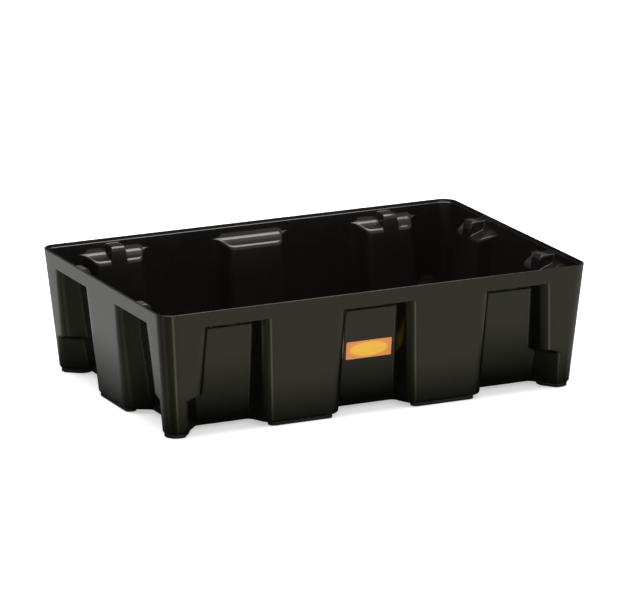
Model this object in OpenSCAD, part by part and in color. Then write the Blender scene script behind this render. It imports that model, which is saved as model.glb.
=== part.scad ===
// Spill containment pallet: a one-piece moulded sump tray with drafted walls, bays pressed into all
// four walls, hollow pilasters and corner legs, foot pads and a plain label plate.
// Millimetres. X runs along the length, Y across the width, Z up. The origin is on the ground,
// under the middle of the tray.

/* [Tray] */
// Length over the rim
tray_length = 1200; // [1150:1:1300]
// Width over the rim
tray_width = 800; // [760:1:900]
// Height of the rim above the ground
tray_height = 330; // [320:1:360]
// Thickness of the moulded wall
wall = 6; // [4:0.5:7]
// Inward lean of the outer walls, per millimetre of height
wall_draft = 0.09; // [0.06:0.005:0.1]
// Corner radius at the rim
rim_corner_r = 40; // [36:1:50]
// Corner radius at the underside
foot_corner_r = 34; // [30:1:36]
// Chamfer along both edges of the rim
rim_chamfer = 2; // [1:0.5:2.5]
// Chamfer along the bottom edge
foot_chamfer = 5; // [2:0.5:8]

/* [Bays] */
// Height of the bays' outer lip
bay_top = 290; // [280:1:295]
// Depth of a bay behind the wall, at its lip
bay_depth = 43; // [40:1:46]
// Extra lean of a bay's back panel, per millimetre of height
panel_draft = 0.05; // [0.02:0.01:0.06]
// Radius of the upright outer edges of the long walls' bays, at the underside
long_lip_r = 36; // [24:1:40]
// Radius of the upright outer edges of the short walls' bays, at the underside
short_lip_r = 56; // [36:1:60]
// Radius of the same edges at the bays' tops
top_lip_r = 35; // [24:1:38]
// Radius of the upright edge of a cut-back leg
cut_lip_r = 20; // [14:1:22]
// Radius of the bays' upright inner corners
inner_r = 7; // [4:1:9]
// How far the sloping top of a bay falls, from its lip to its back panel
ledge_drop = 16; // [12:1:18]

/* [Legs] */
// Height below which a corner leg is cut back
notch_top = 97; // [80:1:110]
// How much higher the cut ends beside the bay
notch_rise = 11; // [6:1:16]
// Where the cut-back leg starts, along the long wall
long_notch = 522; // [512:1:526]
// Where the cut-back leg starts, along the short wall
short_notch = 330; // [322:1:334]

/* [Grating seats] */
// Width of a locating nub
nub_width = 46; // [36:1:56]
// Height of the nubs' flat tops
nub_top = 316; // [310:1:320]
// How far a nub reaches from the outer face of the wall
nub_reach = 48; // [44:1:49]

/* [Foot pads] */
// Height of a foot pad
pad_height = 10; // [8:1:12]
// Depth of a wall pad, measured inwards
pad_depth = 32; // [24:1:36]
// How far the pads stand back from the wall's face
pad_inset = 4; // [2:1:8]
// How far a wall pad's ends stand back from the bays
pad_end = 10; // [6:1:16]
// Length of a corner pad along each wall
corner_pad = 75; // [60:1:80]

/* [Label] */
// Width of the label plate
label_width = 128; // [90:1:130]
// Height of the label plate
label_height = 48; // [30:1:60]
// Thickness of the label plate
label_thick = 1; // [0.5:0.1:2]
// Height of the label's middle above the ground
label_z = 162; // [120:1:200]

/* [Hidden] */
tray_color = [0.17, 0.17, 0.15];
pad_color = [0.09, 0.09, 0.09];
label_color = [0.93, 0.45, 0.10];

base_z = pad_height;
floor_z = base_z + wall;
rim_step = 1.5;
rim_step_z = tray_height - 8;
below = base_z - 4;
reach_out = 20;
pad_corner_r = 15;
arc_steps = 3;
// Leans the wall line out a little where an edge is rounded, so that the arc crosses the wall cleanly
clean_cut = 0.5;
ledge_slope = atan(ledge_drop / bay_depth);
// Where a nub's hollow starts and ends, behind the bay's lip
nub_hollow = [12, 33];

// A bay is two rows, the lower one first. Each row is its height, where the mouth starts and ends along
// the wall, how far the two sides slant inwards from the mouth to the back panel, and the radii of the
// two outer edges.
middle_bay = [[base_z, -102, 102, 24, 24, long_lip_r, long_lip_r], [bay_top, -90, 90, 20, 20, top_lip_r, top_lip_r]];
outer_bay = [[base_z, 299, 487, 27, 22, long_lip_r, long_lip_r], [bay_top, 313, 472, 21, 17, top_lip_r, top_lip_r]];
short_bay = [[base_z, 102, 286, 30, 30, short_lip_r, short_lip_r], [bay_top, 106, 284, 29, 29, top_lip_r, top_lip_r]];
// How far a cut-back leg's side slants inwards, at the underside and at the top of the cut
notch_slant = [52, 42];
outer_nub_u = 396;
short_nub_u = 198;

// How far the outer wall, and a bay's back panel, stand inside the rim at height z
function wall_in(z) = wall_draft * (tray_height - rim_chamfer - z);
function full_depth(z) = bay_depth + panel_draft * (bay_top - z);
function panel_in(z) = wall_in(z) + full_depth(z);

function unit(v) = v / norm(v);
function blend(a, b, k) = a + (b - a) * k;
function reversed(list) = [for (i = [len(list) - 1:-1:0]) list[i]];

// The arc of radius r that rounds the corner b of the path a, b, c
function fillet(a, b, c, r) =
    let (u = unit(a - b), w = unit(c - b), half = acos(u * w) / 2)
    let (centre = b + unit(u + w) * r / sin(half))
    let (start = b + u * r / tan(half) - centre, end = b + w * r / tan(half) - centre)
    let (turn = 180 - 2 * half)
    [for (i = [0:arc_steps]) let (k = i / arc_steps)
        centre + (start * sin((1 - k) * turn) + end * sin(k * turn)) / sin(turn)];

// The tray's outline at height z, this far inside the outer face
function tray_outline(z, inset) =
    let (x = tray_length / 2 - wall_in(z) - inset, y = tray_width / 2 - wall_in(z) - inset)
    let (r = blend(foot_corner_r, rim_corner_r, z / tray_height) - inset)
    let (p = [[-x, -y], [x, -y], [x, y], [-x, y]])
    [for (i = [0:3]) each fillet(p[(i + 3) % 4], p[i], p[(i + 1) % 4], r)];

// A bay's row at height z, and the same row where the leg beside it is cut back to the place notch
function bay_row(bay, z) = blend(bay[0], bay[1], (z - bay[0][0]) / (bay[1][0] - bay[0][0]));
function cut_row(bay, notch, z) =
    let (row = bay_row(bay, z), slant = blend(notch_slant[0], notch_slant[1], (z - base_z) / (notch_top - base_z)))
    [z, row[1], notch, row[3], slant, row[5], cut_lip_r];

// The outline of a bay's row in its wall's own axes: along the wall, then inwards from the rim.
// grow moves the side and back faces out by the wall's thickness, for the block inside the tray.
function bay_outline(row, grow, depth) =
    let (z = row[0], face = wall_in(z) + grow, back = face + depth)
    let (d = full_depth(z), f0 = row[3], f1 = row[4])
    let (s0 = grow * (norm([d, f0]) - f0) / d, s1 = grow * (norm([d, f1]) - f1) / d)
    let (m0 = [row[1] - s0, face], b0 = [row[1] - s0 + f0 * depth / d, back])
    let (m1 = [row[2] + s1, face], b1 = [row[2] + s1 - f1 * depth / d, back])
    let (corner = inner_r + grow)
    let (lip0 = fillet(m0 - [reach_out, clean_cut], m0, b0, row[5] - grow))
    let (lip1 = fillet(b1, m1, m1 + [reach_out, -clean_cut], row[6] - grow))
    concat(
        [[lip0[0][0], face - reach_out], [lip1[arc_steps][0], face - reach_out]],
        reversed(lip1),
        reversed(fillet(b0, b1, m1, corner)),
        reversed(fillet(m0, b0, b1, corner)),
        reversed(lip0)
    );

// A closed solid through outlines of equal length, each given as [height, outline]
module loft(rings) {
    n = len(rings[0][1]);
    last = len(rings) - 1;
    points = [for (ring = rings) for (p = ring[1]) [p[0], p[1], ring[0]]];
    sides = [for (i = [0:last - 1], j = [0:n - 1])
        let (a = i * n + j, b = i * n + (j + 1) % n)
        each [[a, a + n, b + n], [a, b + n, b]]];
    bottom = [for (j = [0:n - 1]) j];
    top = [for (j = [n - 1:-1:0]) last * n + j];
    polyhedron(points, concat(sides, [bottom, top]));
}

// Puts its children on one wall: 0 front, 1 right, 2 back, 3 left
module on_wall(side) {
    half = (side % 2 == 0 ? tray_width : tray_length) / 2;
    rotate([0, 0, 90 * side]) translate([0, -half, 0]) children();
}

// One bay under its sloping top and, where a corner leg beside it is cut back to the place notch, the
// wider part at its foot
module bay(rows, notch, grow) {
    low = below - grow;
    cut = notch_top + grow;
    start = notch > 0 ? cut + notch_rise : low;
    if (notch > 0) loft([
        for (z = [low, cut]) [z, bay_outline(cut_row(rows, notch, z), grow, full_depth(z))],
        [start, bay_outline(bay_row(rows, start), grow, full_depth(start))]
    ]);
    difference() {
        loft([for (z = [start, bay_top + grow]) [z, bay_outline(bay_row(rows, z), grow, full_depth(z))]]);
        translate([rows[0][1], wall_in(bay_top), bay_top]) rotate([-ledge_slope, 0, 0])
            translate([-50, -40, grow]) cube([rows[0][2] - rows[0][1] + 100, 140, 60]);
    }
}

// A locating nub on the ledges, or with a shrink the hollow under it
module nub(u, shrink) {
    top = nub_top - shrink;
    half = nub_width / 2 - shrink;
    start = shrink > 0 ? wall_in(bay_top) + nub_hollow[0] : wall_in(top) + 1;
    end = shrink > 0 ? wall_in(bay_top) + nub_hollow[1] : wall_in(top) + nub_reach;
    hull() {
        translate([u - half, start, bay_top - ledge_drop - 5])
            cube([2 * half, end - start, 1]);
        translate([u - half + 2, start, top - 6])
            cube([2 * (half - 2), end - start - 1, 1]);
        translate([u - half + 6, start, top - 0.01])
            cube([2 * (half - 6), end - start - 5, 0.01]);
    }
}

// Everything pressed into the walls from outside: as it is, or grown by the wall for the inside
module wall_forms(grow) {
    for (side = [0, 2]) on_wall(side) {
        bay(middle_bay, 0, grow);
        for (m = [0, 1]) mirror([m, 0, 0]) {
            bay(outer_bay, long_notch, grow);
            nub(outer_nub_u, wall - grow);
        }
    }
    for (side = [1, 3]) on_wall(side) for (m = [0, 1]) mirror([m, 0, 0]) {
        bay(short_bay, short_notch, grow);
        nub(short_nub_u, wall - grow);
    }
}

module cavity() {
    loft([
        [floor_z, tray_outline(floor_z, wall + foot_chamfer)],
        [floor_z + foot_chamfer, tray_outline(floor_z + foot_chamfer, wall)],
        [rim_step_z, tray_outline(rim_step_z, wall)],
        [rim_step_z + 1, tray_outline(rim_step_z + 1, wall - rim_step)],
        [tray_height - rim_chamfer / 2, tray_outline(tray_height, wall - rim_step)],
        [tray_height, tray_outline(tray_height, wall - rim_step - rim_chamfer / 2)],
        [tray_height + 1, tray_outline(tray_height, wall - rim_step - rim_chamfer / 2)]
    ]);
}

module tray() {
    color(tray_color) difference() {
        loft([
            [base_z, tray_outline(base_z, foot_chamfer)],
            [base_z + foot_chamfer, tray_outline(base_z + foot_chamfer, 0)],
            [tray_height - rim_chamfer, tray_outline(tray_height - rim_chamfer, 0)],
            [tray_height, tray_outline(tray_height, rim_chamfer)]
        ]);
        wall_forms(0);
        difference() {
            cavity();
            wall_forms(wall);
        }
    }
}

module label_plate() {
    lean = atan(wall_draft + panel_draft);
    color(label_color) translate([0, panel_in(label_z) - tray_width / 2, label_z]) rotate([lean, 0, 0])
        translate([-label_width / 2, -label_thick, -label_height / 2])
            cube([label_width, label_thick, label_height]);
}

// A foot pad with rounded corners, centred on the origin and standing on the ground
module pad(x, y, r) {
    color(pad_color) linear_extrude(pad_height) union() {
        square([x, y - 2 * r], center = true);
        square([x - 2 * r, y], center = true);
        for (i = [-1, 1], j = [-1, 1]) translate([i * (x / 2 - r), j * (y / 2 - r)]) circle(r, $fn = 48);
    }
}

// A pad under the wall between two places along it
module wall_pad(side, start, end) {
    on_wall(side) translate([(start + end) / 2, wall_in(0) + pad_inset + pad_depth / 2, 0])
        pad(end - start, pad_depth, pad_corner_r);
}

// The pads under the long walls stand between the middle and outer bays
module long_pad(side, m) {
    on_wall(side) mirror([m, 0, 0])
        translate([(middle_bay[0][2] + outer_bay[0][1]) / 2, wall_in(0) + pad_inset + pad_depth / 2, 0])
            pad(outer_bay[0][1] - middle_bay[0][2] - 2 * pad_end, pad_depth, pad_corner_r);
}

// A corner leg's pad: it follows the leg's outline, cut back beside the bays
module corner_foot(sx, sy) {
    x = tray_length / 2 - wall_in(0) - pad_inset;
    y = tray_width / 2 - wall_in(0) - pad_inset;
    inner = corner_pad - pad_inset;
    bevel = corner_pad / 2;
    outline = [
        [x, y], [long_notch + pad_inset, y], [x - inner, y - bevel],
        [x - inner, y - inner], [x - bevel, y - inner], [x, short_notch]
    ];
    radii = [pad_corner_r * 2, 8, pad_corner_r, pad_corner_r, pad_corner_r, 8];
    color(pad_color) mirror([sx < 0 ? 1 : 0, 0, 0]) mirror([0, sy < 0 ? 1 : 0, 0]) linear_extrude(pad_height)
        polygon([for (i = [0:5]) each fillet(outline[(i + 5) % 6], outline[i], outline[(i + 1) % 6], radii[i])]);
}

module foot_pad_front_left() { corner_foot(-1, -1); }
module foot_pad_front_right() { corner_foot(1, -1); }
module foot_pad_back_left() { corner_foot(-1, 1); }
module foot_pad_back_right() { corner_foot(1, 1); }
module foot_pad_front_mid_left() { long_pad(0, 1); }
module foot_pad_front_mid_right() { long_pad(0, 0); }
module foot_pad_back_mid_left() { long_pad(2, 0); }
module foot_pad_back_mid_right() { long_pad(2, 1); }
module foot_pad_right() { wall_pad(1, pad_end - short_bay[0][1], short_bay[0][1] - pad_end); }
module foot_pad_left() { wall_pad(3, pad_end - short_bay[0][1], short_bay[0][1] - pad_end); }

tray();
label_plate();
foot_pad_front_left();
foot_pad_front_mid_left();
foot_pad_front_mid_right();
foot_pad_front_right();
foot_pad_right();
foot_pad_left();
foot_pad_back_left();
foot_pad_back_mid_left();
foot_pad_back_mid_right();
foot_pad_back_right();
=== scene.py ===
import math

import bmesh
import bpy
import numpy as np
from mathutils import Matrix, Vector


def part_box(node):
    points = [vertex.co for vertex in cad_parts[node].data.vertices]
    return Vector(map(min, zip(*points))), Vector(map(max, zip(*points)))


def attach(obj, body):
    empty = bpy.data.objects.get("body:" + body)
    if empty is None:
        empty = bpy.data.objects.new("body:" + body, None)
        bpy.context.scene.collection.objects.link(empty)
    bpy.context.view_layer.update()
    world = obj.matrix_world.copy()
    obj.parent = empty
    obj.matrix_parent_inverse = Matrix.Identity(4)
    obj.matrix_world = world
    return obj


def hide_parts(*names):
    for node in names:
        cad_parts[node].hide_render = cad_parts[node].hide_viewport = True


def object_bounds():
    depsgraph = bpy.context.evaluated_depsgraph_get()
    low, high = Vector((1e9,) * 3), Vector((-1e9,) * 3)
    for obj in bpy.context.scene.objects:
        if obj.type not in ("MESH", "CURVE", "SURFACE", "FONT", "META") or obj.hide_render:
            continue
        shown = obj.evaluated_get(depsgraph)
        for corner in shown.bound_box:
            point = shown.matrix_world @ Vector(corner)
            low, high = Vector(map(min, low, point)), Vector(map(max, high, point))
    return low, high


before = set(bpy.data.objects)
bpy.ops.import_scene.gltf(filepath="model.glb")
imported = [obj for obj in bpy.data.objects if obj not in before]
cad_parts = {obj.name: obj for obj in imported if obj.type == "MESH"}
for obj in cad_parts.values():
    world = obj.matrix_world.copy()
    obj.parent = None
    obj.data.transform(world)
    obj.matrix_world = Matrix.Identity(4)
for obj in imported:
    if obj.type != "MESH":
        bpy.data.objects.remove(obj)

CAD_LOW, CAD_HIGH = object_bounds()

# ---------------------------------------------------------------- sizes, in millimetres

# These are part.scad's measures, but for three: the lips' radii at the bays' tops differ from its by 1 mm,
# and SHORT_NOTCH by 3 mm.
HALF_LONG, HALF_SHORT, TALL = (1000 * v for v in (CAD_HIGH[0], CAD_HIGH[1], CAD_HIGH[2]))
WALL = 6.0
WALL_DRAFT = 0.09
RIM_CHAMFER = 2.0
BASE_Z = 1000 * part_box("tray")[0][2]
FLOOR_Z = BASE_Z + WALL
CORNER_R = (34.0, 40.0)              # at the ground and at the rim

BAY_TOP = 290.0
BAY_DEPTH = 43.0
PANEL_DRAFT = 0.05
LEDGE_DROP = 16.0                    # how far the sloping top of a bay falls, from the lip to the panel
LEDGE_INSIDE = 294.2                 # where the slope starts on the inner face: the ledge is a wall thick
# Radii of a bay's upright edges: the lips at the underside and at the bays' tops, the lip beside a cut-back
# leg, and the inner corners
LONG_LIP_R, SHORT_LIP_R = (36.0, 34.0), (56.0, 36.0)
CUT_LIP_R = 20.0
LEAST_LIP_R = 2.0                    # on an inner face, where a lip's radius is a wall less
INNER_R = 7.0
# [height, mouth start, mouth end, slant at the start, slant at the end] of each bay, lower row first
MIDDLE_BAY = ((BASE_Z, -102, 102, 24, 24), (BAY_TOP, -90, 90, 20, 20))
OUTER_BAY = ((BASE_Z, 299, 487, 27, 22), (BAY_TOP, 313, 472, 21, 17))
SHORT_BAY = ((BASE_Z, 102, 286, 30, 30), (BAY_TOP, 106, 284, 29, 29))
NOTCH_TOP = 97.0                     # height below which the corner legs are cut back
NOTCH_RISE = 11.0                    # how much higher the cut ends beside the bay
NOTCH_SLANT = (52.0, 42.0)           # at the underside and at the top of the cut
# Where the cut-back leg starts, along each wall. The short wall's 327 instead of 330 keeps the leg's lip
# clear of the corner's arc.
LONG_NOTCH, SHORT_NOTCH = 522.0, 327.0

NUB_TOP = 316.0
NUB_HALF = 17.0                      # half the width of the hollow; the solid nub is a wall wider each side
OUTER_NUB, SHORT_NUB = 396.0, 198.0
HOLLOW_TOP = NUB_TOP - WALL
HOLLOW_NEAR, HOLLOW_FAR = 12.0, 33.0     # where a nub's hollow starts and ends, behind the bay's lip
HOLLOW_SLOPE = 3.0                       # how far its near and far faces lean in
RIM_LIP = 4.5                        # thickness of the wall at the rim
RIM_STEP_Z = TALL - 8
BASE_EDGE, FLOOR_EDGE = 14.0, 10.0   # how far the flat caps of the underside and the floor stand in


def blend(a, b, k):
    return a + (b - a) * k


def wall_in(z):
    """How far a wall's outer face stands in from the tray's box at height z."""
    return WALL_DRAFT * (TALL - RIM_CHAMFER - z)


def full_depth(z):
    """How far a bay's panel lies behind the wall's outer face at height z."""
    return BAY_DEPTH + PANEL_DRAFT * (BAY_TOP - z)


# ---------------------------------------------------------------- plan outlines

# How far in from the edge of a nub's foot each of its side columns stands, and how much of the nub's height
# it has
NUB_SIDE = ((0.0, 0.0), (0.5, 0.07), (1.1, 0.3), (1.8, 0.6), (2.8, 0.85), (4.2, 0.96), (6.5, 1.0))


def arc2(a, b, c, r, n):
    """The n + 1 points of the arc that rounds the corner b of the path a, b, c."""
    a, b, c = (np.array(p, float) for p in (a, b, c))
    u, w = (a - b) / np.linalg.norm(a - b), (c - b) / np.linalg.norm(c - b)
    half = math.acos(float(np.clip(u @ w, -1, 1))) / 2
    p, q = b + u * r / math.tan(half), b + w * r / math.tan(half)
    return bezier(p, b, q, math.sin(half), n)


def bezier(p, b, q, weight, n):
    """A round arc from p to q with its corner at b: weight is the sine of half the corner's angle."""
    out = []
    for i in range(n + 1):
        s = i / n
        k = ((1 - s) ** 2, 2 * s * (1 - s) * weight, s ** 2)
        out.append((k[0] * p + k[1] * b + k[2] * q) / (k[0] + k[1] + k[2]))
    return out


def between(a, b, n):
    """n points evenly between a and b, without them."""
    return [blend(a, b, (i + 1) / (n + 1)) for i in range(n)]


def bay_side(mouth, slant, way, z, grow, lip_r):
    """From the wall's face round the lip, along the flank and round the inner corner to the bay's panel.
    way is +1 at a bay's near side, going along the wall, and -1 at its far side. grow moves the faces into
    the tray's plastic."""
    face, depth = wall_in(z) + grow, full_depth(z)
    shift = grow * (math.hypot(depth, slant) - slant) / depth
    m = np.array((mouth - way * shift, face))
    b = m + (way * slant, depth)
    along = np.array((way * 50.0, 0.0))          # some way along the wall, towards the bay's middle
    lip = arc2(m - along, m, b, max(lip_r - grow, LEAST_LIP_R), 6)
    inner = arc2(m, b, b + along, INNER_R + 2 * grow, 5)
    return lip + between(lip[-1], inner[0], 2) + inner


def half_wall(long_side, z, grow, cut):
    """Columns of half a wall, as (along the wall, inwards from the rim, nub share), from its middle out to
    its corner, and the columns of the corner's arc. cut takes the wider bay beside a cut-back leg."""
    half = HALF_LONG if long_side else HALF_SHORT
    face = wall_in(z) + grow
    up_bay = (z - BASE_Z) / (BAY_TOP - BASE_Z)
    lip_r = blend(*(LONG_LIP_R if long_side else SHORT_LIP_R), up_bay)
    cols = []

    def add(points):
        cols.extend((p[0], p[1], 0.0) for p in points)

    def bay_row(bay):
        return [blend(low, high, up_bay) for low, high in zip(*bay)]

    if long_side:
        _, _, mouth, _, slant = bay_row(MIDDLE_BAY)
        side = bay_side(mouth, slant, -1, z, grow, lip_r)[::-1]
        add([(0.0, side[0][1])])
        add(between(np.array((0.0, side[0][1])), side[0], 3))
        add(side)
    else:
        add([(0.0, face)])
    _, near_mouth, mouth, near_slant, slant = bay_row(OUTER_BAY if long_side else SHORT_BAY)
    nub = OUTER_NUB if long_side else SHORT_NUB
    near = bay_side(near_mouth, near_slant, 1, z, grow, lip_r)
    start = np.array((cols[-1][0], face))
    add(between(start, near[0], 6 if long_side else 3))
    add(near)
    if cut:
        mouth = LONG_NOTCH if long_side else SHORT_NOTCH
        slant = blend(*NOTCH_SLANT, (z - BASE_Z) / (NOTCH_TOP - BASE_Z))
        lip_r = CUT_LIP_R
    far = bay_side(mouth, slant, -1, z, grow, lip_r)[::-1]

    back = near[-1][1]
    foot = NUB_HALF + grow
    add(between(near[-1], np.array((nub - foot, back)), 2))
    cols.extend((nub - foot + off, back, share) for off, share in NUB_SIDE)
    cols.append((nub, back, 1.0))
    cols.extend((nub + foot - off, back, share) for off, share in NUB_SIDE[::-1])
    add(between(np.array((nub + foot, back)), far[0], 2))
    add(far)

    corner_r = blend(*CORNER_R, z / TALL) - grow
    centre = np.array((half - face - corner_r, face + corner_r))
    add(between(far[-1], np.array((centre[0], face)), 2))
    add([(centre[0], face)])
    arc = [(centre[0] + corner_r * math.sin(a), centre[1] - corner_r * math.cos(a))
           for a in np.linspace(0, math.pi / 2, 10)[1:-1]]
    return np.array(cols), np.array([(p[0], p[1], 0.0) for p in arc])


def ring(z, grow=0.0, cut=False):
    """The whole outline at height z: for each column its wall, place along it, depth and nub share, and 1
    on a wall or 0 on a corner's arc."""
    out = []
    for side in range(4):
        cols, arc = half_wall(side % 2 == 0, z, grow, cut)
        mirror = cols[:0:-1].copy()
        mirror[:, 0] *= -1
        whole = np.vstack((mirror, cols, arc))
        on_wall = np.arange(len(whole)) < len(mirror) + len(cols)
        out.append(np.hstack((np.full((len(whole), 1), side), whole, on_wall[:, None])))
    return np.vstack(out)


def place(cols, z):
    """Turns columns into points, each on its own wall."""
    u, d = cols[:, 1], cols[:, 2]
    half = np.where(cols[:, 0] % 2 == 0, HALF_SHORT, HALF_LONG)
    y = d - half
    turn = cols[:, 0] * math.pi / 2
    return np.stack((u * np.cos(turn) - y * np.sin(turn), u * np.sin(turn) + y * np.cos(turn),
                     np.broadcast_to(z, u.shape)), 1)


# ---------------------------------------------------------------- the tray

def station(z, grow=0.0, cut=False, closed=False):
    """The tray's outline at height z as points. closed leaves the bays out."""
    cols = ring(z, grow, cut)
    if closed:
        limit(cols, wall_in(z) + grow)
    return place(cols, np.full(len(cols), float(z)))


def limit(cols, depth):
    """Lets no column on a wall lie deeper than this."""
    cols[:, 2] = np.where(cols[:, 4] > 0, np.minimum(cols[:, 2], depth), cols[:, 2])


def ledge(top_z, grow, clip=None, nub=None):
    """The outline on the sloping tops of the bays, which start at height top_z. clip limits how deep it
    goes, and nub is the (height, clip) that a nub's columns rise to instead."""
    cols, low = ring(top_z, grow), ring(top_z - LEDGE_DROP, grow)
    face, full = wall_in(top_z) + grow, full_depth(top_z)
    share = np.where(cols[:, 4] > 0, (cols[:, 2] - face) / full, 0.0)[:, None]
    cols = blend(cols, low, share)
    if clip is not None:
        limit(cols, face + clip)
    top = top_z - LEDGE_DROP * np.where(cols[:, 4] > 0, (cols[:, 2] - face) / full, 0.0)
    if nub is not None:
        high = ring(nub[0], grow)
        if nub[1] is not None:
            limit(high, wall_in(nub[0]) + grow + nub[1])
        share = cols[:, 3]
        cols[:, 2] = blend(cols[:, 2], high[:, 2], share)
        top = blend(top, float(nub[0]), share)
    return place(cols, top)


def loft(stations):
    """Joins stations of (points, corner radius, arc steps, steps along to the next) into rows of points.
    Returns the rows and the row at which each station starts."""
    rows, starts = [], []
    last = None
    for i, (p, r, n, _) in enumerate(stations):
        if n == 0:
            start, arc = p, [p]
        else:
            a, c = stations[i - 1][0] - p, stations[i + 1][0] - p
            la = np.linalg.norm(a, axis=1, keepdims=True)
            lc = np.linalg.norm(c, axis=1, keepdims=True)
            ua, uc = a / np.maximum(la, 1e-6), c / np.maximum(lc, 1e-6)
            half = np.arccos(np.clip((ua * uc).sum(1, keepdims=True), -1, 1)) / 2
            t = np.minimum(r / np.maximum(np.tan(half), 1e-3), 0.5 * np.minimum(la, lc))
            arc = bezier(p + ua * t, p, p + uc * t, np.sin(half), n)
            start = arc[0]
        if last is not None:
            rows.extend(between(last, start, stations[i - 1][3]))
        starts.append(len(rows))
        rows.extend(arc)
        last = rows[-1]
    return rows, starts


# The tray from the middle of its underside, over the rim, to the middle of its floor. Each station is its
# points, the radius that rounds it, the steps of that arc and the steps along to the next station.
OUTSIDE = [
    (station(BASE_Z, BASE_EDGE, True), 0, 0, 0),
    (station(BASE_Z, 0, True), 9, 5, 4),
    (station(NOTCH_TOP, 0, True), 6, 3, 0),
    (station(NOTCH_TOP + NOTCH_RISE), 3, 3, 8),
    (ledge(BAY_TOP, 0), 9, 5, 0),
    (ledge(BAY_TOP, 0, HOLLOW_FAR), 1, 2, 0),
    (ledge(BAY_TOP, 0, HOLLOW_FAR - HOLLOW_SLOPE, (HOLLOW_TOP, HOLLOW_FAR - HOLLOW_SLOPE)), 3, 3, 0),
    (ledge(BAY_TOP, 0, HOLLOW_NEAR + HOLLOW_SLOPE, (HOLLOW_TOP, HOLLOW_NEAR + HOLLOW_SLOPE)), 3, 3, 0),
    (ledge(BAY_TOP, 0, HOLLOW_NEAR), 1, 2, 0),
    (ledge(BAY_TOP, 0, 0), 2.5, 4, 1),
    (station(TALL, closed=True), 2.2, 4, 0),
]
INSIDE = [
    (station(TALL, RIM_LIP, closed=True), 1.2, 3, 0),
    (station(RIM_STEP_Z, RIM_LIP, closed=True), 0.6, 1, 0),
    (station(RIM_STEP_Z - 1.2, WALL, closed=True), 0.6, 1, 0),
    (ledge(LEDGE_INSIDE, WALL, 0, nub=(NUB_TOP, 0)), 20, 8, 1),
    (ledge(LEDGE_INSIDE, WALL, nub=(NUB_TOP, None)), 14, 7, 8),
    (station(NOTCH_TOP + NOTCH_RISE + WALL, WALL), 8, 4, 0),
    (station(NOTCH_TOP + WALL, WALL, True), 5, 3, 4),
    (station(FLOOR_Z, WALL, True), 8, 5, 0),
    (station(FLOOR_Z, WALL + FLOOR_EDGE, True), 0, 0, 0),
]


def lofted_mesh(name, rows, split, materials, caps=True):
    """A closed mesh through rows of points. Faces from the row split on take the second material."""
    bm = bmesh.new()
    verts = [[bm.verts.new(p * 0.001) for p in row] for row in rows]
    n = len(rows[0])
    for i in range(len(rows) - 1):
        for j in range(n):
            k = (j + 1) % n
            f = bm.faces.new((verts[i][j], verts[i][k], verts[i + 1][k], verts[i + 1][j]))
            f.material_index = 1 if i >= split else 0
            f.smooth = True
    if caps:
        bm.faces.new(verts[0][::-1])
        bm.faces.new(verts[-1]).material_index = 1 if split < len(rows) else 0
    bmesh.ops.remove_doubles(bm, verts=bm.verts, dist=2e-5)
    bmesh.ops.dissolve_degenerate(bm, edges=bm.edges, dist=1e-6)
    mesh = bpy.data.meshes.new(name)
    bm.to_mesh(mesh)
    bm.free()
    for m in materials:
        mesh.materials.append(m)
    obj = bpy.data.objects.new(name, mesh)
    bpy.context.scene.collection.objects.link(obj)
    return obj


# ---------------------------------------------------------------- materials

def material(name, **inputs):
    """A new material with its node tree and shader, whose sockets are set from the keywords."""
    m = bpy.data.materials.new(name)
    m.use_nodes = True
    shader = m.node_tree.nodes["Principled BSDF"]
    for key, value in inputs.items():
        shader.inputs[key.replace("_", " ")].default_value = value
    return m, m.node_tree, shader


def noise(tree, scale, detail=4.0, rough=0.55, vector=None):
    n = tree.nodes.new("ShaderNodeTexNoise")
    n.inputs["Scale"].default_value = scale
    n.inputs["Detail"].default_value = detail
    n.inputs["Roughness"].default_value = rough
    if vector is not None:
        tree.links.new(vector, n.inputs["Vector"])
    return n.outputs["Fac"]


def spread(tree, value, low, high, to_low, to_high):
    n = tree.nodes.new("ShaderNodeMapRange")
    for key, v in (("From Min", low), ("From Max", high), ("To Min", to_low), ("To Max", to_high)):
        n.inputs[key].default_value = v
    tree.links.new(value, n.inputs["Value"])
    return n.outputs["Result"]


def mix_colour(tree, fac, a, b):
    n = tree.nodes.new("ShaderNodeMix")
    n.data_type = "RGBA"
    n.inputs["A"].default_value, n.inputs["B"].default_value = a, b
    tree.links.new(fac, n.inputs["Factor"])
    return n.outputs["Result"]


def bump(tree, height, strength, distance, normal=None):
    n = tree.nodes.new("ShaderNodeBump")
    n.inputs["Strength"].default_value = strength
    n.inputs["Distance"].default_value = distance
    tree.links.new(height, n.inputs["Height"])
    if normal is not None:
        tree.links.new(normal, n.inputs["Normal"])
    return n.outputs["Normal"]


def moulded_plastic(name, dark, light, rough, grain, ior, tint):
    """A black moulded surface, plastic or rubber: a fine grain, soft waves and slightly uneven gloss."""
    m, tree, shader = material(name, IOR=ior, Specular_Tint=tint)
    place_in = tree.nodes.new("ShaderNodeTexCoord").outputs["Object"]
    broad = noise(tree, 6.0, 3.0, vector=place_in)
    tree.links.new(mix_colour(tree, broad, dark, light), shader.inputs["Base Color"])
    tree.links.new(spread(tree, noise(tree, 18.0, 5.0, vector=place_in), 0.3, 0.7, rough[0], rough[1]),
                   shader.inputs["Roughness"])
    waves = bump(tree, noise(tree, 5.0, 0.0, vector=place_in), 0.1, 0.002)
    fine = bump(tree, noise(tree, 900.0, 2.0, vector=place_in), grain, 0.0004, waves)
    tree.links.new(fine, shader.inputs["Normal"])
    return m


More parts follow.
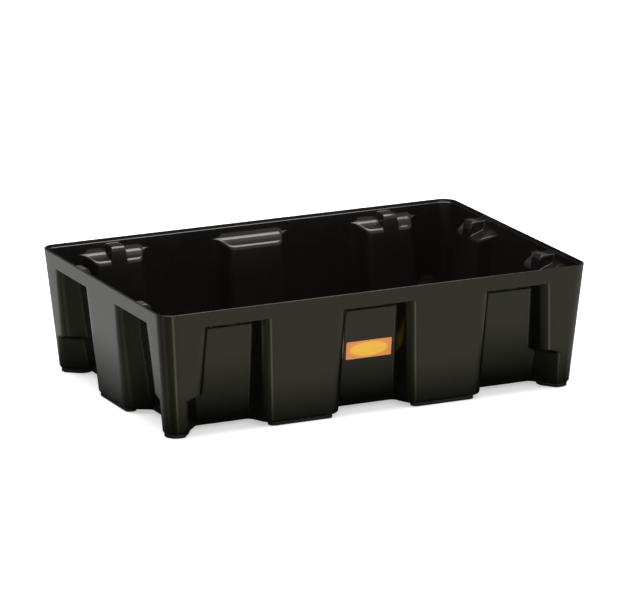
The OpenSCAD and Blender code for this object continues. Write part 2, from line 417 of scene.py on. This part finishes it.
outside = moulded_plastic(
    "plastic_outside", (0.002, 0.002, 0.001, 1), (0.003, 0.003, 0.0015, 1), (0.12, 0.17), 0.06, 1.37,
    (1.0, 1.0, 0.72, 1))
# The inner faces are the same plastic as the outer ones: their lighter, browner base colour is painted light
# that brightens the inside.
inside = moulded_plastic(
    "plastic_inside_painted_lighter", (0.006, 0.0052, 0.0045, 1), (0.009, 0.0076, 0.0062, 1), (0.14, 0.2), 0.05, 1.44,
    (1.0, 1.0, 0.9, 1))
rubber = moulded_plastic(
    "pad_rubber_look", (0.006, 0.006, 0.005, 1), (0.012, 0.012, 0.010, 1), (0.5, 0.65), 0.5, 1.36,
    (1.0, 1.0, 0.9, 1))

rows, starts = loft(OUTSIDE + INSIDE)
tray = lofted_mesh("tray_shell", rows, starts[len(OUTSIDE)], (outside, inside))
smooth = tray.modifiers.new("normals", "WEIGHTED_NORMAL")
smooth.weight = 80
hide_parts("tray")
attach(tray, "root")


# ---------------------------------------------------------------- the foot pads

PAD_HEIGHT = BASE_Z
PAD_INSET = 4.0
PAD_END = 10.0                       # how far a wall pad's ends stand back from the bays
PAD_DEPTH = 32.0
PAD_R = 15.0
CORNER_PAD = 75.0
# [height, how far the outline stands in] up a pad: a rounded lower edge and a small bevel at the top
PAD_ROWS = ((0.0, 2.0), (0.3, 1.1), (0.9, 0.4), (2.0, 0.0), (PAD_HEIGHT - 0.8, 0.0), (PAD_HEIGHT, 0.8))


def rounded(points, radii, inset, steps=8):
    """A convex outline with rounded corners, standing this far in. The points run anticlockwise."""
    points = [np.array(p, float) for p in points]
    n = len(points)
    lines = []
    for a, b in zip(points, points[1:] + points[:1]):
        along = (b - a) / np.linalg.norm(b - a)
        lines.append((a + inset * np.array((-along[1], along[0])), along))
    corners = []
    for i in range(n):
        (p, u), (q, w) = lines[i - 1], lines[i]
        corners.append(p + u * np.linalg.solve(np.stack((u, -w), 1), q - p)[0])
    out = []
    for i in range(n):
        out.extend(arc2(corners[i - 1], corners[i], corners[(i + 1) % n], radii[i] - inset, steps))
    return np.array(out)


def stack(points, radii, rows, steps=8):
    """Rows of points for a lofted mesh: the rounded outline at each (height, how far it stands in)."""
    out = []
    for z, inset in rows:
        outline = rounded(points, radii, inset, steps)
        out.append(np.hstack((outline, np.full((len(outline), 1), z))))
    return out


def foot_pad(name, points, radii):
    """A pad with this outline, standing on the ground."""
    turned = sum(a[0] * b[1] - b[0] * a[1] for a, b in zip(points, points[1:] + points[:1])) < 0
    if turned:
        points, radii = points[::-1], radii[::-1]
    rows = stack(points, radii, PAD_ROWS)
    pad = lofted_mesh(name + "_pad", rows, len(rows), (rubber,))
    pad.modifiers.new("normals", "WEIGHTED_NORMAL").weight = 80
    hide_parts(name)
    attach(pad, "root")


def wall_pad(name, side, start, end):
    """A pad under a wall between two places along it."""
    depth = wall_in(0) + PAD_INSET
    half = HALF_SHORT if side % 2 == 0 else HALF_LONG
    turn = side * math.pi / 2
    points = []
    for u, y in ((start, depth - half), (end, depth - half), (end, depth + PAD_DEPTH - half),
                 (start, depth + PAD_DEPTH - half)):
        points.append((u * math.cos(turn) - y * math.sin(turn), u * math.sin(turn) + y * math.cos(turn)))
    foot_pad(name, points, [PAD_R] * 4)


def corner_pad(name, sx, sy):
    """A corner leg's pad, cut back beside the bays like the leg."""
    x, y = HALF_LONG - wall_in(0) - PAD_INSET, HALF_SHORT - wall_in(0) - PAD_INSET
    inner, bevel = CORNER_PAD - PAD_INSET, CORNER_PAD / 2
    points = [(x, y), (LONG_NOTCH + PAD_INSET, y), (x - inner, y - bevel), (x - inner, y - inner),
              (x - bevel, y - inner), (x, SHORT_NOTCH)]
    foot_pad(name, [(sx * a, sy * b) for a, b in points], [PAD_R * 2, 8.0, PAD_R, PAD_R, PAD_R, 8.0])


long_start, long_end = MIDDLE_BAY[0][2] + PAD_END, OUTER_BAY[0][1] - PAD_END
wall_pad("foot_pad_front_mid_left", 0, -long_end, -long_start)
wall_pad("foot_pad_front_mid_right", 0, long_start, long_end)
wall_pad("foot_pad_back_mid_left", 2, long_start, long_end)
wall_pad("foot_pad_back_mid_right", 2, -long_end, -long_start)
short_end = SHORT_BAY[0][1] - PAD_END
wall_pad("foot_pad_right", 1, -short_end, short_end)
wall_pad("foot_pad_left", 3, -short_end, short_end)
corner_pad("foot_pad_front_left", -1, -1)
corner_pad("foot_pad_front_right", 1, -1)
corner_pad("foot_pad_back_left", -1, 1)
corner_pad("foot_pad_back_right", 1, 1)

# ---------------------------------------------------------------- the label

LABEL_SIZE = (128.0, 48.0)
LABEL_Z = 162.0
LABEL_R = 3.0
OVAL = (0.053, 0.019)                # half axes of the label's oval, in metres
# [height, how far the outline stands in] up the sheet, which has a soft upper edge
LABEL_ROWS = ((0.0, 0.0), (0.6, 0.0), (0.9, 0.15), (1.0, 0.5))


def label_film():
    """Orange printed film with a plain yellow oval, in the label's own axes."""
    m, tree, shader = material("label_film_look", Roughness=0.3, IOR=1.45)
    own = tree.nodes.new("ShaderNodeTexCoord").outputs["Object"]

    def scaled(x, y):
        n = tree.nodes.new("ShaderNodeVectorMath")
        n.operation = "MULTIPLY"
        n.inputs[1].default_value = (x, y, 0.0)
        tree.links.new(own, n.inputs[0])
        return n.outputs[0]

    size = tree.nodes.new("ShaderNodeVectorMath")
    size.operation = "LENGTH"
    tree.links.new(scaled(1 / OVAL[0], 1 / OVAL[1]), size.inputs[0])
    oval = spread(tree, size.outputs["Value"], 0.96, 1.04, 1.0, 0.0)
    ink = noise(tree, 60.0, 4.0, vector=own)
    orange = mix_colour(tree, ink, (0.60, 0.205, 0.048, 1), (0.66, 0.23, 0.055, 1))
    both = tree.nodes.new("ShaderNodeMix")
    both.data_type = "RGBA"
    both.inputs["B"].default_value = (0.72, 0.385, 0.021, 1)
    tree.links.new(oval, both.inputs["Factor"])
    tree.links.new(orange, both.inputs["A"])
    tree.links.new(both.outputs["Result"], shader.inputs["Base Color"])
    tree.links.new(spread(tree, noise(tree, 40.0, 3.0, vector=own), 0.3, 0.7, 0.26, 0.36),
                   shader.inputs["Roughness"])
    tree.links.new(bump(tree, noise(tree, 1200.0, 2.0, vector=own), 0.05, 0.0002), shader.inputs["Normal"])
    return m


half_w, half_h = LABEL_SIZE[0] / 2, LABEL_SIZE[1] / 2
sheet = [(-half_w, -half_h), (half_w, -half_h), (half_w, half_h), (-half_w, half_h)]
label_rows = stack(sheet, [LABEL_R] * 4, LABEL_ROWS, 5)
label = lofted_mesh("label_sheet", label_rows, len(label_rows), (label_film(),))
lean = math.atan(WALL_DRAFT + PANEL_DRAFT)
label_y = wall_in(LABEL_Z) + full_depth(LABEL_Z) - HALF_SHORT
label.matrix_world = (Matrix.Translation((0, 0.001 * label_y, 0.001 * LABEL_Z))
                      @ Matrix.Rotation(math.pi / 2 + lean, 4, "X"))
label.modifiers.new("normals", "WEIGHTED_NORMAL").weight = 80
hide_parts("label_plate")
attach(label, "root")

# ---------------------------------------------------------------- camera, floor and light

scene = bpy.context.scene
scene.view_settings.view_transform = "Standard"

AZIMUTH, ELEVATION, DISTANCE, ROLL = -25.10, 14.986, 13.088, -0.232
TARGET = Vector((-0.1902, -0.4120, 0.330))
az, el, roll = (math.radians(v) for v in (AZIMUTH, ELEVATION, ROLL))
back = Vector((math.sin(az) * math.cos(el), -math.cos(az) * math.cos(el), math.sin(el)))
right = (-back).cross(Vector((0, 0, 1))).normalized()
up = right.cross(-back)
turned_right = right * math.cos(roll) + up * math.sin(roll)
turned_up = up * math.cos(roll) - right * math.sin(roll)
cam_data = bpy.data.cameras.new("camera")
cam_data.sensor_width = 36.0
cam_data.lens = 299.6
cam_data.clip_end = 200.0
cam = bpy.data.objects.new("camera", cam_data)
cam.matrix_world = Matrix.Translation(TARGET + back * DISTANCE) @ Matrix(
    (turned_right, turned_up, back)).transposed().to_4x4()
scene.collection.objects.link(cam)
scene.camera = cam

# Pale floor with a weak glow of its own, so that it stays nearly white under the tray
floor_look = material("floor_look", Base_Color=(0.9, 0.9, 0.9, 1), Roughness=0.9,
                      Emission_Color=(1, 1, 1, 1), Emission_Strength=0.5)[0]
bpy.ops.mesh.primitive_plane_add(size=60, location=(0, 8, 0))
floor = bpy.context.object
floor.name = "floor"
floor.data.materials.append(floor_look)
floor.visible_glossy = False


def ground_shade():
    """Painted shade seen only in reflections: a dark sheet on the ground close to the tray, which the glossy
    walls mirror, so that their lower parts are darker. It fades out within a quarter metre.
    """
    m = bpy.data.materials.new("ground_shade_look")
    m.use_nodes = True
    tree = m.node_tree
    tree.nodes.clear()
    out = tree.nodes.new("ShaderNodeOutputMaterial")
    mix = tree.nodes.new("ShaderNodeMixShader")
    # Nearly black: the painted shade that the walls mirror near their feet
    dark = tree.nodes.new("ShaderNodeEmission")
    dark.inputs["Strength"].default_value = 0.02
    clear = tree.nodes.new("ShaderNodeBsdfTransparent")
    split = tree.nodes.new("ShaderNodeSeparateXYZ")
    tree.links.new(tree.nodes.new("ShaderNodeTexCoord").outputs["Object"], split.inputs[0])
    beyond = []
    for axis, half, fade in (("X", 0.57, 0.2), ("Y", 0.37, 0.25)):
        size = tree.nodes.new("ShaderNodeMath")
        size.operation = "ABSOLUTE"
        tree.links.new(split.outputs[axis], size.inputs[0])
        beyond.append(spread(tree, size.outputs[0], half, half + fade, 0.0, 1.0))
    far = tree.nodes.new("ShaderNodeMath")
    far.operation = "MAXIMUM"
    for a, b in zip(beyond, far.inputs):
        tree.links.new(a, b)
    for a, b in ((far.outputs[0], mix.inputs[0]), (dark.outputs[0], mix.inputs[1]),
                 (clear.outputs[0], mix.inputs[2]), (mix.outputs[0], out.inputs[0])):
        tree.links.new(a, b)
    return m


# The sheet of painted shade, hidden from the camera, from diffuse light and from shadows
bpy.ops.mesh.primitive_plane_add(size=4, location=(0, 0, -0.001))
shade = bpy.context.object
shade.name = "ground_shade"
shade.data.materials.append(ground_shade())
shade.visible_camera = shade.visible_diffuse = shade.visible_shadow = False

# The room round the tray, low down and above: (degrees round from the front, brightness)
ROOM_LOW = ((-180, 1.0), (-157, 1.0), (-140, 0.7), (-122, 0.5), (-102, 0.4), (-80, 0.75), (-58, 0.38),
            (-14, 0.6), (-8, 2.9), (0, 2.9), (7, 1.0), (30, 1.15), (60, 1.1), (120, 0.6), (180, 1.0))
ROOM_HIGH = ((-180, 0.1), (-120, 0.1), (-70, 0.3), (0, 0.8), (70, 0.8), (120, 0.15), (180, 0.1))
world = bpy.data.worlds.new("world")
world.use_nodes = True
wt = world.node_tree
split = wt.nodes.new("ShaderNodeSeparateXYZ")
wt.links.new(wt.nodes.new("ShaderNodeTexCoord").outputs["Generated"], split.inputs[0])
flip = wt.nodes.new("ShaderNodeMath")
flip.operation = "MULTIPLY"
flip.inputs[1].default_value = -1.0
wt.links.new(split.outputs["Y"], flip.inputs[0])
turn = wt.nodes.new("ShaderNodeMath")
turn.operation = "ARCTAN2"
wt.links.new(split.outputs["X"], turn.inputs[0])
wt.links.new(flip.outputs[0], turn.inputs[1])
round_it = spread(wt, turn.outputs[0], -math.pi, math.pi, 0.0, 1.0)


def by_direction(levels):
    """A colour ramp round the tray through these (degrees, brightness)."""
    ramp = wt.nodes.new("ShaderNodeValToRGB")
    ramp.color_ramp.interpolation = "EASE"
    while len(ramp.color_ramp.elements) < len(levels):
        ramp.color_ramp.elements.new(0.5)
    for e, (degrees, bright) in zip(ramp.color_ramp.elements, levels):
        e.position = degrees / 360 + 0.5
        e.color = (bright, bright, bright, 1)
    wt.links.new(round_it, ramp.inputs[0])
    return ramp.outputs[0]


both = wt.nodes.new("ShaderNodeMix")
both.data_type = "RGBA"
wt.links.new(spread(wt, split.outputs["Z"], -0.05, 0.15, 0.0, 1.0), both.inputs["Factor"])
wt.links.new(by_direction(ROOM_LOW), both.inputs["A"])
wt.links.new(by_direction(ROOM_HIGH), both.inputs["B"])
wt.links.new(both.outputs["Result"], wt.nodes["Background"].inputs["Color"])
scene.world = world


def softbox(name, place_at, aim, size, power):
    """A rectangular light aimed at a point. It isn't seen directly."""
    data = bpy.data.lights.new(name, "AREA")
    data.shape = "RECTANGLE"
    data.size, data.size_y = size
    data.energy = power
    light = bpy.data.objects.new(name, data)
    light.location = place_at
    light.rotation_mode = "QUATERNION"
    light.rotation_quaternion = (Vector(aim) - Vector(place_at)).to_track_quat("-Z", "Y")
    light.visible_camera = False
    scene.collection.objects.link(light)


softbox("top_light", (0.1, 0.3, 4.2), (0.1, 0.1, 0), (4.5, 3.0), 350)
softbox("left_light", (-4.2, 1.2, 2.4), (0, 0.2, 0), (2.5, 2.5), 15)
softbox("back_light", (2.1, 4.6, 1.9), (0, 0.2, 0.2), (3.4, 1.6), 3)
